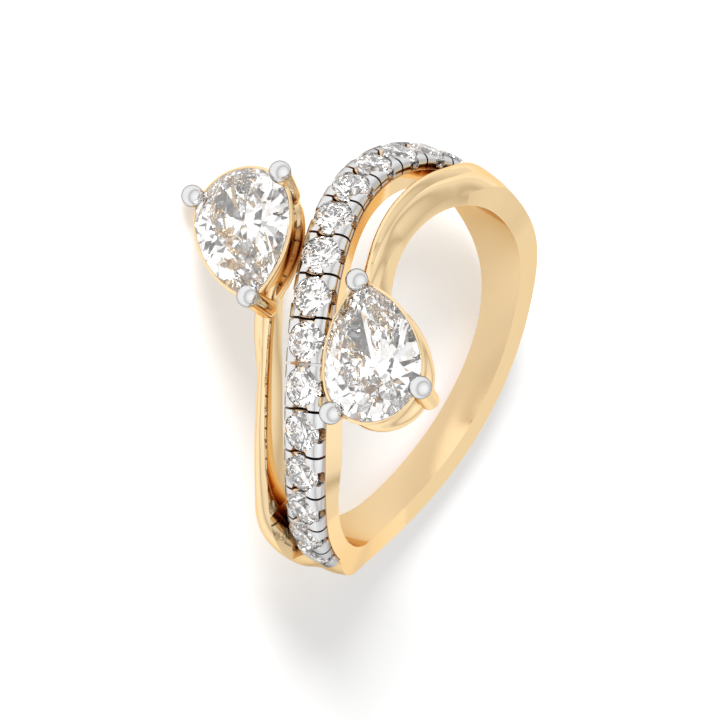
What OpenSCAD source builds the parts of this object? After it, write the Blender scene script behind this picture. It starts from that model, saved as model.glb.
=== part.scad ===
// Bypass wrap ring: a shank that splits into two arms and a row of small round stones.
// Each arm ends in a three-prong basket with a pear-cut stone.
// The ring is drawn about its finger axis Z, with its head towards -Y, and then laid down.
// Turning it by half a turn about the head's own axis, Y, brings it onto itself.

/* [Finger hole and shank] */
// Radius of the finger hole
bore_r = 8.25; // [7.75:0.05:9]
// Width of the shank at the back
shank_w = 1.64; // [1.3:0.02:2.2]
// Height of the shank's flat side wall at the back
shank_t = 1.27; // [1:0.01:1.6]
// Extra height of the side wall a quarter turn from the back
shank_rise = 0.18; // [0:0.01:0.4]
// Height of the domed top over the side walls, at the back
shank_crown = 0.12; // [0.05:0.01:0.3]
// Extra height of that dome a quarter turn from the back
crown_rise = 0.22; // [0:0.01:0.4]

/* [Row of round stones] */
// Distance from stone to stone along the row
row_pitch = 2.04; // [2:0.01:2.1]
// Width of the row, from side to side
row_w = 2.06; // [1.95:0.01:2.2]
// Height of the plain wall under the cups, over the finger hole
row_wall_t = 1.05; // [0.9:0.01:1.2]
// Height of the cups and their corner prongs over that wall
cup_t = 0.45; // [0.4:0.01:0.6]
// Width of the slit between two cups
slit_w = 0.11; // [0.06:0.01:0.12]
// Diameter of a round stone
round_d = 1.82; // [1.6:0.01:1.82]

/* [Pear stones and baskets] */
// Length of a pear stone
pear_l = 6.36; // [6:0.01:6.6]
// Width of a pear stone
pear_w = 4.46; // [4.2:0.01:4.7]
// Depth of a basket, from the prongs' balls down to its lower edge
basket_t = 2.2; // [2:0.01:2.3]
// Radius of a prong's ball tip
ball_r = 0.5; // [0.4:0.01:0.55]
// Radius of a prong's wire
wire_r = 0.43; // [0.3:0.01:0.45]

/* [Rest on a surface] */
// Lean of the finger axis away from the head, as the ring lies on its side
lean_back = 19.95; // [18:0.05:22]
// Lean of the finger axis to the side
lean_side = 4; // [0:0.1:8]
// Height of the ring's centre over the surface
lift = 4.1; // [3.5:0.01:5]
// Shift of the ring's centre that brings the middle of the whole to the origin
shift_back = 1.83; // [1:0.01:3]

/* [Hidden] */

gold = [0.93, 0.77, 0.49];
diamond = [0.88, 0.91, 0.94];

// Every swept solid starts this far inside the finger hole, which is cut last
root_depth = 0.3;
root_r = bore_r - root_depth;
// How far the row's girdles lie under the tips of its prongs
girdle_depth = 0.24;
// Radii of the row: top of the plain wall, top of the prongs, plane of the stones' girdles
wall_r = bore_r + row_wall_t;
tip_r = wall_r + cup_t;
girdle_r = tip_r - girdle_depth;
// Stones on each side of the row's middle one
row_side_count = 7;

// Shank: how its edges spread with the turn from the back, in radians
edge_flare = 0.48;
edge_twist = 0.25;
edge_ease = 0.039;
// Row: path of its middle across the ring's width, against the turn from the head, in radians
path_slope = -4.215;
path_bend = 2.109;
path_ease = -0.384;
path_end = 0.010;
// Turns from the head between which the row's outer side passes into the shank's
blend_from = 76;
blend_to = 100;

// Arm that carries the low pear, in steps of turn from the head's middle towards the shank
ARM_TURN = 0;   // column: turn in degrees
ARM_FOOT = 1;   // column: low edge at the finger hole, as a place along the finger axis
ARM_LOW = 2;    // column: low edge at the top of the side wall
ARM_HIGH = 3;   // column: high edge
ARM_WALL = 4;   // column: height of the side walls
ARM_CROWN = 5;  // column: height of the domed top over the side walls
ARM = [
    [-4, -3.30, -3.00, -2.15, 0.85, 0.20],
    [4, -3.10, -2.75, -1.95, 0.90, 0.25],
    [10, -2.75, -2.40, -1.48, 0.95, 0.30],
    [16, -2.25, -1.95, -1.05, 0.95, 0.32],
    [22, -1.77, -1.48, -0.64, 0.95, 0.33],
    [32, -1.10, -1.00, -0.12, 1.00, 0.33],
    [43, -0.76, -0.76, 0.23, 1.05, 0.33],
    [54, -0.64, -0.64, 0.42, 1.12, 0.33],
    [64, -0.66, -0.66, 0.50, 1.25, 0.33],
    [74, -0.72, -0.72, 0.56, 1.38, 0.35],
    [96, -0.86, -0.86, 0.62, 1.38, 0.28]
];

// Low pear: place of its point prong's ball, turn of its long axis, and tip of its plane
PEAR_AT = [1.41, -10.67, -2.15];
pear_turn = 40.8;
pear_tip = 3.3;
// Depth of the pear's girdle under the balls' centres
girdle_drop = 0.28;
// Round-end prongs: place along the pear from its point, and to each side
prong_along = 5.54;
prong_side = 2.11;

// Cut stones: the table's share of the width, the share of the crown's height where star and
// kite facets meet, and where the lower facets end, across the stone and down its pavilion
table_share = 0.56;
star_share = 0.54;
lower_share = 0.28;
lower_drop = 0.76;
// Heights of crown, girdle and pavilion
round_crown = 0.15 * round_d;
round_girdle = 0.04;
round_pavilion = 0.42 * round_d;
pear_crown = 0.62;
pear_girdle = 0.09;
pear_pavilion = 1.72;
// How far the pear's culet lies from the middle of its round end, towards the point
pear_culet_shift = 0.25;

// Point on the ring at a radius, a turn from the head's middle and a place along the finger axis
function at(r, turn, z) = [-r * sin(turn), -r * cos(turn), z];
function rad(turn) = turn * PI / 180;

// Slope-matched curve through the rows of a table, read at u
function row_index(u, rows, i = 0) =
    i >= len(rows) - 2 || u < rows[i + 1][0] ? i : row_index(u, rows, i + 1);
function rise(rows, i, j, col) = (rows[j][col] - rows[i][col]) / (rows[j][0] - rows[i][0]);
function slope_at(rows, i, col) =
    i == 0 ? rise(rows, 0, 1, col)
    : i == len(rows) - 1 ? rise(rows, i - 1, i, col)
    : (rise(rows, i - 1, i, col) + rise(rows, i, i + 1, col)) / 2;
function smooth(u, rows, col) =
    let (
        i = row_index(u, rows),
        gap = rows[i + 1][0] - rows[i][0],
        t = (u - rows[i][0]) / gap,
        a = rows[i][col],
        b = rows[i + 1][col],
        ma = slope_at(rows, i, col) * gap,
        mb = slope_at(rows, i + 1, col) * gap
    )
    a + t * (ma + t * (3 * (b - a) - 2 * ma - mb + t * (2 * (a - b) + ma + mb)));

// Closed skin over a list of rings of points, each ring with the same number of points
module loft(rings, loop = false) {
    n = len(rings[0]);
    count = len(rings);
    spans = loop ? count : count - 1;
    side = [
        for (k = [0 : spans - 1], i = [0 : n - 1])
            let (a = k * n, b = ((k + 1) % count) * n, j = (i + 1) % n)
            each [[a + i, b + i, b + j], [a + i, b + j, a + j]]
    ];
    caps = loop ? [] : [
        [for (i = [0 : n - 1]) i],
        [for (i = [0 : n - 1]) (count - 1) * n + n - 1 - i]
    ];
    polyhedron(points = [for (ring = rings) each ring], faces = concat(side, caps), convexity = 8);
}

// Section of a band: flat side walls and a domed top between them
DOME = [-1, -0.86, -0.55, 0, 0.55, 0.86, 1];
function band_section(turn, foot, low, high, wall, crown) =
    let (mid = (low + high) / 2, half = (high - low) / 2)
    concat(
        [at(root_r, turn, high), at(root_r, turn, foot)],
        [for (s = DOME) at(bore_r + wall + crown * sqrt(1 - s * s), turn, mid + s * half)]
    );

// Path of the row's middle, by the turn from the head: its place, its slope and half the row's width
function path_z(turn) =
    let (p = rad(turn), q = p * p) p * (path_slope + q * (path_bend + q * (path_ease + q * path_end)));
function path_rate(turn) =
    let (q = pow(rad(turn), 2))
    path_slope + q * (3 * path_bend + q * (5 * path_ease + q * 7 * path_end));
function row_half(turn) = row_w / 2 * norm([tip_r, path_rate(turn)]) / tip_r;

// Edge of the shank, by the turn from the back towards its wide end, and the same edge where the
// row's outer side runs into it
function shank_edge(back_turn) =
    let (b = rad(back_turn)) shank_w / 2 + b * b * (edge_flare + b * (edge_twist - b * edge_ease));
function blend(turn) =
    let (t = min(1, max(0, (turn - blend_from) / (blend_to - blend_from)))) t * t * (3 - 2 * t);
function wide_edge(turn) =
    (1 - blend(turn)) * (row_half(turn) - path_z(turn)) + blend(turn) * shank_edge(180 - turn);
function side_edge(back_turn) =
    back_turn > 180 - blend_to ? wide_edge(180 - back_turn) : shank_edge(back_turn);

// Shank, by the turn from the back
function shank_section(back_turn) =
    let (share = pow(abs(back_turn) / 90, 2))
    band_section(
        180 + back_turn, -side_edge(-back_turn), -side_edge(-back_turn), side_edge(back_turn),
        shank_t + shank_rise * share, shank_crown + crown_rise * share
    );

module shank() {
    reach = 92.5;
    step = 5;
    loft([for (turn = [-reach : step : reach]) shank_section(turn)]);
}

// Arm of the low pear; the other arm is the same, turned
module arm() {
    first = ARM[0][ARM_TURN];
    last = ARM[len(ARM) - 1][ARM_TURN];
    steps = 23;
    loft([
        for (k = [0 : steps])
            let (turn = last + (first - last) * k / steps)
            band_section(
                -turn, smooth(turn, ARM, ARM_FOOT), smooth(turn, ARM, ARM_LOW),
                smooth(turn, ARM, ARM_HIGH), smooth(turn, ARM, ARM_WALL), smooth(turn, ARM, ARM_CROWN)
            )
    ]);
}

// Row of round stones: the turn of each stone, and a cup's own axes
function step_turn(turn) = row_pitch / norm([tip_r, path_rate(turn)]) * 180 / PI;
function stone_turn(k) =
    k == 0 ? 0
    : k < 0 ? -stone_turn(-k)
    : let (last = stone_turn(k - 1)) last + step_turn(last + step_turn(last) / 2);

// Axes drawn from an origin, a direction to run along and one to stand out in
module framed(origin, run, out) {
    along = (run - out * (run * out)) / norm(run - out * (run * out));
    side = cross(out, along);
    multmatrix([
        [along.x, side.x, out.x, origin.x],
        [along.y, side.y, out.y, origin.y],
        [along.z, side.z, out.z, origin.z],
        [0, 0, 0, 1]
    ]) children();
}

module on_row(k, r = wall_r) {
    turn = stone_turn(k);
    out = [-sin(turn), -cos(turn), 0];
    run = [-cos(turn), sin(turn), path_rate(turn) / tip_r];
    framed(at(r, turn, path_z(turn)), run, out) children();
}

module row_wall() {
    reach = 90;
    steps = 35;
    loft([
        for (k = [0 : steps])
            let (
                turn = reach * (2 * k / steps - 1),
                low = turn > 0 ? -wide_edge(turn) : path_z(turn) - row_half(turn),
                high = turn < 0 ? wide_edge(-turn) : path_z(turn) + row_half(turn)
            )
            [
                at(root_r, turn, high), at(root_r, turn, low),
                at(wall_r, turn, low), at(wall_r, turn, high)
            ]
    ]);
}

// Cup of one round stone: a square block with a round seat, corner prongs and scooped sides
cup_sides = 24;
// How far a cup's flanks stand back from the wall's at its foot and at its prongs' tops, and how far
// the tops slope outwards
cup_inset = 0.04;
cup_draft = 0.10;
cup_slope = 0.12;
// Heights over the wall of the scoops in the row's flanks and of those at the slits
flank_scoop = 0.10;
slit_scoop = 0.28;
// Turn from the middle of a side to the edge of its corner prong
scoop_turn = 20;
// Play between a stone and its seat, and the share of that width left open under the stone
seat_play = 0.02;
hole_share = 0.82;
seat_r = round_d / 2 + seat_play;

function square_spoke(a) = [cos(a), sin(a)] / max(abs(cos(a)), abs(sin(a)));
function fold_turn(a) = abs(((a + 45) % 90) - 45);
function is_flank(a) = abs(sin(a)) > abs(cos(a));
function cup_height(a) = fold_turn(a) > scoop_turn ? cup_t : is_flank(a) ? flank_scoop : slit_scoop;

// Turn of the row's path across the ring at a stone. The ends of a cup lean with it, so that the
// slit to the next cup is as wide on the inside of a bend as on the outside.
function path_lean(k) = atan2(path_rate(stone_turn(k)), tip_r);
module cup(k) {
    lean_next = tan((path_lean(k + 1) - path_lean(k)) / 2);
    lean_last = tan((path_lean(k) - path_lean(k - 1)) / 2);
    function outer(s, half_x, half_y, z) =
        let (y = s.y * half_y) [s.x * (half_x + y * (s.x > 0 ? lean_next : lean_last)), y, z];
    foot = -0.2;
    lip = 0.02;
    half_top = (row_pitch - slit_w) / 2;
    half_foot = half_top * (wall_r + foot) / tip_r;
    ledge = girdle_r - wall_r;
    function seat(round, z) =
        let (share = min(1, (z - foot) / (ledge - foot)))
        [each round * seat_r * (hole_share + (1 - hole_share) * share), z];
    loft([
        for (i = [cup_sides - 1 : -1 : 0])
            let (a = i * 360 / cup_sides, s = square_spoke(a), h = cup_height(a), round = [cos(a), sin(a)])
            [
                outer(s, half_foot, row_w / 2 - cup_inset, foot),
                outer(s, half_top, row_w / 2 - cup_draft, h - cup_slope),
                seat(round, h),
                seat(round, min(h - lip, ledge)),
                seat(round, foot)
            ]
    ], loop = true);
}

// Pit in the wall under a round stone
module pit() {
    deep = 0.62;
    end_r = 0.12;
    over = 0.02;
    translate([0, 0, -deep])
        cylinder(r1 = end_r, r2 = round_d / 2 * hole_share, h = deep + over, $fn = 12);
}

// Outline of a pear cut, grown by a margin, from its point round to its point again.
// Each half is a long arc that holds arc_share of the points, and a quarter of the round end.
arc_share = 0.62;
point_reach = 1.2;
function pear_outline(margin, count) =
    let (
        end_r = pear_w / 2,
        mid = pear_l - end_r,
        arc_r = (mid * mid + end_r * end_r) / pear_w,
        tip_turn = asin(mid / arc_r),
        half = [
            for (i = [0 : count / 2])
                let (
                    s = i / (count / 2),
                    a = tip_turn * max(0, 1 - s / arc_share),
                    w = 90 * max(0, s - arc_share) / (1 - arc_share)
                )
                s <= arc_share
                ? [mid - (arc_r + margin) * sin(a), (arc_r + margin) * cos(a) - arc_r + end_r]
                : [mid + (end_r + margin) * sin(w), (end_r + margin) * cos(w)]
        ]
    )
    concat(
        [[-margin * point_reach, 0]],
        [for (i = [1 : count / 2]) [half[i].x, -half[i].y]],
        [for (i = [count / 2 - 1 : -1 : 1]) half[i]]
    );

// Basket wall: rim wire, hollow channel, lower rail; rows of margin and drop under the balls
BASKET = [
    [0.03, 0.26], [0.12, 0.32], [0.12, 0.46], [-0.02, 0.60], [-0.18, 0.85], [-0.22, 1.20],
    [-0.14, 1.52], [-0.02, 1.64], [-0.01, 1.85], [-0.06, basket_t], [-0.55, basket_t],
    [-0.50, 0.95], [-0.16, 0.56], [0.03, 0.42]
];
// How far the basket shifts towards the row for each unit of drop
basket_shift = 0.05;
// Lean of the wires' feet, along the pear and across it: point, outer side, row's side
WIRE_FEET = [[-0.15, -0.35], [0.15, -0.20], [-0.55, 0.10]];

module basket() {
    outline_count = 28;
    loft([
        for (i = [0 : outline_count - 1])
            [
                for (row = BASKET)
                    let (p = pear_outline(row[0], outline_count)[i])
                    [p.x, p.y - basket_shift * row[1], -row[1]]
            ]
    ], loop = true);
}

// Prong: ball tip on a round wire whose foot is rounded and stops short of the basket's edge
foot_gap = 0.4;
foot_round = 0.3;
module prong(lean) {
    foot = basket_t - foot_gap;
    multmatrix([[1, 0, -lean.x / foot, 0], [0, 1, -lean.y / foot, 0], [0, 0, 1, 0], [0, 0, 0, 1]])
        rotate_extrude($fn = 12)
            polygon(concat(
                [for (a = [0 : 45 : 90]) [wire_r * sin(a), foot_round * (1 - cos(a)) - foot]],
                [[wire_r, -ball_r / 2], [0, 0]]
            ));
    rotate_extrude($fn = 12)
        polygon(concat(
            [[0, -ball_r]], [for (a = [-60 : 30 : 60]) ball_r * [cos(a), sin(a)]], [[0, ball_r]]
        ));
}

// Places a pear's own axes: X along the pear from its point, Z out of its table
module on_pear() {
    framed(
        PEAR_AT, [-cos(pear_turn), 0, -sin(pear_turn)], [-sin(pear_tip), -cos(pear_tip), 0]
    ) children();
}

module pear_setting() {
    on_pear() {
        basket();
        prong(WIRE_FEET[0]);
        translate([prong_along, prong_side, 0]) prong(WIRE_FEET[1]);
        translate([prong_along, -prong_side, 0]) prong(WIRE_FEET[2]);
    }
}

// Cut stone over an outline of 2n points: table, stars, kites and halves, girdle, pavilion
module cut_stone(outline, middle, crown, girdle, pavilion) {
    n = len(outline) / 2;
    function toward(p, s, z) = [middle.x + (p.x - middle.x) * s, middle.y + (p.y - middle.y) * s, z];
    points = concat(
        [for (i = [0 : n - 1]) toward(outline[2 * i], table_share, crown)],
        [for (i = [0 : n - 1]) toward(outline[2 * i + 1], (table_share + 1) / 2, crown * star_share)],
        [for (p = outline) toward(p, 1, 0)],
        [for (p = outline) toward(p, 1, -girdle)],
        [for (i = [0 : n - 1]) toward(outline[2 * i + 1], lower_share, -girdle - pavilion * lower_drop)],
        [[middle.x, middle.y, -girdle - pavilion]]
    );
    star = n;
    upper = 2 * n;
    lower = 4 * n;
    mains = 6 * n;
    culet = 7 * n;
    faces = concat(
        [[for (i = [0 : n - 1]) n - 1 - i]],
        [
            for (i = [0 : n - 1])
                let (
                    j = (i + 1) % n, h = (i + n - 1) % n,
                    a = 2 * i, b = 2 * i + 1, c = (2 * i + 2) % (2 * n)
                )
                each [
                    [i, j, star + i],
                    [i, star + i, upper + a],
                    [i, upper + a, star + h],
                    [star + i, upper + b, upper + a],
                    [star + i, upper + c, upper + b],
                    [upper + a, upper + b, lower + b],
                    [upper + a, lower + b, lower + a],
                    [upper + b, upper + c, lower + c],
                    [upper + b, lower + c, lower + b],
                    [lower + a, lower + b, mains + i],
                    [lower + b, lower + c, mains + i],
                    [lower + a, mains + i, culet],
                    [lower + a, culet, mains + h]
                ]
        ]
    );
    polyhedron(points = points, faces = faces, convexity = 4);
}

module round_stone() {
    count = 16;
    outline = [for (i = [0 : count - 1]) round_d / 2 * [cos(i * 360 / count), sin(i * 360 / count)]];
    translate([0, 0, round_girdle / 2])
        cut_stone(outline, [0, 0], round_crown, round_girdle, round_pavilion);
}

module pear_stone() {
    middle = [pear_l - pear_w / 2 - pear_culet_shift, 0];
    translate([0, 0, -girdle_drop])
        cut_stone(pear_outline(0, 24), middle, pear_crown, pear_girdle, pear_pavilion);
}

// Lays the ring on its side
module laid() {
    translate([0, shift_back, lift]) rotate([-lean_back, lean_side, 0]) children();
}

// The second of each pair: half a turn about the head's axis
module turned() {
    rotate([0, 180, 0]) children();
}

// Shank, arms, row and baskets are soldered into one piece of gold
module welded() {
    resize([0, 0, 0]) difference() {
        union() {
            shank();
            arm();
            turned() arm();
            row_wall();
            for (k = [-row_side_count : row_side_count]) on_row(k) cup(k);
            pear_setting();
            turned() pear_setting();
        }
        for (k = [-row_side_count : row_side_count]) on_row(k) pit();
    }
}

module ring_metal() {
    color(gold) laid() difference() {
        welded();
        cylinder(r = bore_r, h = 40, center = true, $fn = 120);
    }
}

module pave_stone(k) {
    color(diamond) laid() on_row(k, girdle_r) round_stone();
}

module pear_stone_low() {
    color(diamond) laid() on_pear() pear_stone();
}

module pear_stone_high() {
    color(diamond) laid() turned() on_pear() pear_stone();
}

ring_metal();
pave_stone(-7);  // pave_stone_01
pave_stone(-6);  // pave_stone_02
pave_stone(-5);  // pave_stone_03
pave_stone(-4);  // pave_stone_04
pave_stone(-3);  // pave_stone_05
pave_stone(-2);  // pave_stone_06
pave_stone(-1);  // pave_stone_07
pave_stone(0);  // pave_stone_08
pave_stone(1);  // pave_stone_09
pave_stone(2);  // pave_stone_10
pave_stone(3);  // pave_stone_11
pave_stone(4);  // pave_stone_12
pave_stone(5);  // pave_stone_13
pave_stone(6);  // pave_stone_14
pave_stone(7);  // pave_stone_15
pear_stone_low();
pear_stone_high();
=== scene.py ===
"""A wrap ring in yellow gold with a row of small round stones and two pear-cut stones, lying on its side."""

import math

import bmesh
import bpy
from mathutils import Matrix, Vector


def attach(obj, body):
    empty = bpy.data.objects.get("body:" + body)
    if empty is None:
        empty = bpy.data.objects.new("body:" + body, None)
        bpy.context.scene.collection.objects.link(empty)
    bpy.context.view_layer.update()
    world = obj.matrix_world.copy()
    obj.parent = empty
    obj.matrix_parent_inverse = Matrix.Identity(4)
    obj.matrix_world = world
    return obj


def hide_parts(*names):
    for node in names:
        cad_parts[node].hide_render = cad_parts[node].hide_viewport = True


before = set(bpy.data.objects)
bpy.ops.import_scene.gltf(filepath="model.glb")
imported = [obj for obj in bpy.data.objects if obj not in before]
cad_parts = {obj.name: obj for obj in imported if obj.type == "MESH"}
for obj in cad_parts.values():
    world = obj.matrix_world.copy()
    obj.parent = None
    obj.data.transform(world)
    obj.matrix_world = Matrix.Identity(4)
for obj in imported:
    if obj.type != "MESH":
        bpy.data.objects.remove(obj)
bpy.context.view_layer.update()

# Camera
# The ring is worked out upright about its finger axis Z, with its head towards -Y, in millimetres.
# LAID puts it down on its side. The camera keeps the photograph's angle to the ring.
MM = 0.001
laid_place, laid_roll, laid_lean = (0, 0.00183, 0.0041), 4, -19.95
LAID = (
    Matrix.Translation(laid_place)
    @ Matrix.Rotation(math.radians(laid_roll), 4, "Y")
    @ Matrix.Rotation(math.radians(laid_lean), 4, "X")
)
LAID_MM = LAID @ Matrix.Scale(MM, 4)
view_turn, view_height = 5.16, 28.74  # round the finger axis, and up towards its end
view_roll = 118.0  # in the picture
view_place = (-0.001545, 0.000126, 0.15428)  # along the picture, up it, and back from the ring

camera_lens = bpy.data.cameras.new("camera")
camera_lens.sensor_width = 36
camera_lens.lens = 167.24
camera_lens.clip_start = 0.01
camera = bpy.data.objects.new("camera", camera_lens)
bpy.context.scene.collection.objects.link(camera)
camera.matrix_world = (
    LAID
    @ Matrix.Rotation(math.radians(view_turn), 4, "Z")
    @ Matrix.Rotation(math.radians(90 - view_height), 4, "X")
    @ Matrix.Rotation(math.radians(view_roll), 4, "Z")
    @ Matrix.Translation(view_place)
)
bpy.context.scene.camera = camera


# Floor
# A smooth pale sheet, large enough to run out of every view. It gives off a little light of its own,
# so that the gold mirrors a pale floor where the ring's own shadow lies too.
def set_inputs(node, values):
    """Gives a node's inputs their values, by name."""
    for socket, value in values.items():
        node.inputs[socket].default_value = value


def add_nodes(tree, **wanted):
    """New nodes in a tree, by name. Each is given as a kind, or as (kind, settings, values of inputs)."""
    made = {}
    for name, want in wanted.items():
        kind, settings, values = (want, {}, {}) if isinstance(want, str) else want
        made[name] = tree.nodes.new(kind)
        for setting, value in settings.items():
            setattr(made[name], setting, value)
        set_inputs(made[name], values)
    return made


def join(tree, nodes, *links):
    """Links between named nodes, each given as (node, output, node, input)."""
    for a, out, b, into in links:
        tree.links.new(nodes[a].outputs[out], nodes[b].inputs[into])


def set_stops(ramp, *stops):
    """Colours of a colour ramp, each given as (place, colour), in rising order."""
    elements = ramp.color_ramp.elements
    for k, (place, colour) in enumerate(stops):
        stop = elements[k] if k < 2 else elements.new(place)
        stop.position = place
        stop.color = (*colour, 1)


def new_finish(name, cloud_scale, cloud_detail, tones, **wanted):
    """Material with soft clouds of two tones on Object coordinates: it, its tree and its nodes."""
    material = bpy.data.materials.new(name)
    material.use_nodes = True
    tree = material.node_tree
    nodes = add_nodes(
        tree,
        places="ShaderNodeTexCoord",
        clouds=("ShaderNodeTexNoise", {}, {"Scale": cloud_scale, "Detail": cloud_detail}),
        tones="ShaderNodeValToRGB",
        **wanted,
    )
    nodes["shader"] = tree.nodes["Principled BSDF"]
    set_stops(nodes["tones"], *enumerate(tones))
    join(tree, nodes, ("places", "Object", "clouds", "Vector"), ("clouds", "Fac", "tones", "Fac"))
    return material, tree, nodes


floor_finish, floor_tree, floor_nodes = new_finish(
    "pale_floor", 30.0, 2.0, ((0.86, 0.855, 0.85), (0.88, 0.88, 0.88))
)
join(floor_tree, floor_nodes, ("tones", "Color", "shader", "Base Color"))
set_inputs(
    floor_nodes["shader"],
    {
        "Roughness": 0.9,
        "Specular IOR Level": 0.1,
        "Emission Color": (1, 1, 1, 1),
        "Emission Strength": 0.36,
    },
)

floor_mesh = bpy.data.meshes.new("floor")
floor_reach = 3.0
floor_corners = [(x * floor_reach, y * floor_reach, 0) for x, y in ((-1, -1), (1, -1), (1, 1), (-1, 1))]
floor_mesh.from_pydata(floor_corners, [], [(0, 1, 2, 3)])
floor_mesh.materials.append(floor_finish)
floor = bpy.data.objects.new("floor", floor_mesh)
bpy.context.scene.collection.objects.link(floor)

# Light
# A white studio tent, brighter overhead, with a greyer band round it that the polished metal shows,
# and with dark seams and corners that only the cut stones show. Matt surfaces get a plain grey of it.
# One low soft light from in front of the head throws the ring's shadow to the picture's bottom.
studio = bpy.data.worlds.new("studio")
studio.use_nodes = True
bpy.context.scene.world = studio
studio_tree = studio.node_tree
studio_nodes = add_nodes(
    studio_tree,
    way="ShaderNodeTexCoord",
    height="ShaderNodeSeparateXYZ",
    tent="ShaderNodeValToRGB",
    seams=("ShaderNodeTexNoise", {}, {"Scale": 2.2, "Detail": 1.0, "Roughness": 0.4}),
    corners="ShaderNodeValToRGB",
    rays="ShaderNodeLightPath",
    stones=("ShaderNodeMix", {"data_type": "RGBA", "blend_type": "MULTIPLY"}, {}),
    matt=("ShaderNodeMix", {"data_type": "RGBA"}, {"B": (0.42, 0.42, 0.42, 1)}),
)
studio_nodes["light"] = studio_tree.nodes["Background"]
set_stops(
    studio_nodes["tent"],
    (0.0, (1.02, 1.02, 1.02)),
    (0.20, (1.0, 1.0, 1.0)),
    (0.38, (0.66, 0.62, 0.58)),
    (0.54, (1.0, 1.0, 1.0)),
    (0.75, (1.10, 1.10, 1.10)),
    (0.92, (1.26, 1.26, 1.26)),
)
set_stops(studio_nodes["corners"], (0.47, (0.05, 0.05, 0.05)), (0.50, (1.20, 1.20, 1.20)))
join(
    studio_tree, studio_nodes,
    ("way", "Generated", "height", 0),
    ("height", "Z", "tent", 0),
    ("way", "Generated", "seams", "Vector"),
    ("seams", "Fac", "corners", 0),
    ("tent", "Color", "stones", "A"),
    ("corners", "Color", "stones", "B"),
    ("rays", "Is Transmission Ray", "stones", "Factor"),
    ("stones", "Result", "matt", "A"),
    ("rays", "Is Diffuse Ray", "matt", "Factor"),
    ("matt", "Result", "light", "Color"),
)

light_way = Vector((1.1, 2.1, -1.3))
soft_light = bpy.data.lights.new("soft_light", "SUN")
soft_light.angle = 0.35
soft_light.energy = 3.3
soft_light_stand = bpy.data.objects.new("soft_light", soft_light)
bpy.context.scene.collection.objects.link(soft_light_stand)
soft_light_stand.rotation_euler = light_way.to_track_quat("-Z", "Y").to_euler()
soft_light_stand.visible_glossy = False

bpy.context.scene.view_settings.view_transform = "Standard"
bpy.context.scene.cycles.use_denoising = True
bpy.context.scene.cycles.max_bounces = 24
bpy.context.scene.cycles.glossy_bounces = 20
bpy.context.scene.cycles.transmission_bounces = 20

# Shank and arms
# Cast in yellow gold and polished: a flat-sided band, low and domed on top, whose two ends run on
# as narrow domed arms. One arm goes to each side of the row, and ends under its pear stone.
BORE_R = 8.25
ROW_TOP, ROW_HALF = 9.75, 1.03  # the row's top from the finger axis, and half its width
ROW_CURVE = (-4.215, 2.109, -0.384, 0.010)  # the row's place: factors of the turn, of its cube and so on
ARM_END, SPLIT = -4, 87.5  # turns from the head: an arm's end, and where it leaves the full shank
ARM = {  # turn from the head: low edge at the bore, low edge on top, high edge, wall height, dome height
    -4: (-3.30, -3.00, -2.15, 0.85, 0.20),
    4: (-3.10, -2.75, -1.95, 0.90, 0.25),
    10: (-2.75, -2.45, -1.48, 0.95, 0.30),
    16: (-2.28, -2.05, -1.05, 0.95, 0.32),
    22: (-1.85, -1.68, -0.64, 0.97, 0.32),
    32: (-1.36, -1.25, -0.12, 1.02, 0.32),
    43: (-1.06, -0.98, 0.23, 1.08, 0.32),
    54: (-0.92, -0.85, 0.42, 1.15, 0.32),
    64: (-0.90, -0.84, 0.54, 1.27, 0.32),
    74: (-0.92, -0.88, 0.72, 1.38, 0.34),
    96: (-1.04, -1.04, 1.00, 1.38, 0.28),
}
EDGES = {  # turn from the head: the shank's wide edge, then its narrow edge on the high and the low half
    64: (3.47, 0.90, 0.90),
    76: (3.29, 0.92, 0.86),
    85: (3.06, 0.96, 0.80),
    95: (2.72, 1.03, 0.68),
    106: (2.30, 1.12, 0.58),
    112: (2.00, 1.13, 0.56),
    118: (1.70, 1.10, 0.56),
    128: (1.32, 1.02, 0.60),
    137: (1.11, 0.95, 0.71),
    149: (0.95, 0.91, 0.84),
    162: (0.90, 0.90, 0.90),
    180: (0.90, 0.90, 0.90),
}
HIGH, LOW = 1, 2  # columns of the narrow edge
ARM_STEPS, REST_STEPS = 16, 14  # faces across an arm, and across the rest of the shank beside it
SAME_POINT = 1e-4  # points closer than this are one
ROW_JOINS = (60, 90)  # turns over which the row's outer side becomes the shank's
SHANK_STARTS = (60, SPLIT)  # turns over which an arm takes on the shank's section
SLANT_STARTS = (8, 30)  # turns over which an arm's dome becomes a slanted flank and a crown
CREASE, FLANK_DROP, FLANK_POWER, DOME_POWER = 0.50, 0.60, 1.8, 2.5
BACK_WALL, BACK_DOME = 1.27, 0.12  # heights at the back of the finger
MORE_WALL, MORE_DOME = 0.18, 0.22  # what a quarter turn towards the head adds to them
SWELL = {HIGH: -0.20, LOW: 0.22}  # how much each shoulder stands over the shank's own curve
SWELL_STARTS, SWELL_ENDS, SWELL_SPREADS = (45, 75), (92, 124), (88, 100)
SWELL_SIDE = (0.35, 0.7)  # shares of the width over which the swell fades beside the row
ROW_DIP, DIP_SIDE, DIP_ENDS = 0.52, (0.42, 0.58), (88, 108)  # how the shank dips where the row meets it


def at(radius, turn, place):
    """Point at a radius, a turn in degrees from the middle of the head, and a place along the finger axis."""
    return Vector((-radius * math.sin(math.radians(turn)), -radius * math.cos(math.radians(turn)), place))


def half_turned(point):
    """The same point on the other half of the ring, which is this half turned about the head's axis."""
    return Vector((-point.x, point.y, -point.z))


def ease(value, start, end):
    """0 before start, 1 after end, and a soft step between them."""
    t = min(1, max(0, (value - start) / (end - start)))
    return t * t * (3 - 2 * t)


def mix(a, b, share):
    """Value a share of the way from one to another."""
    return (1 - share) * a + share * b


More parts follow.
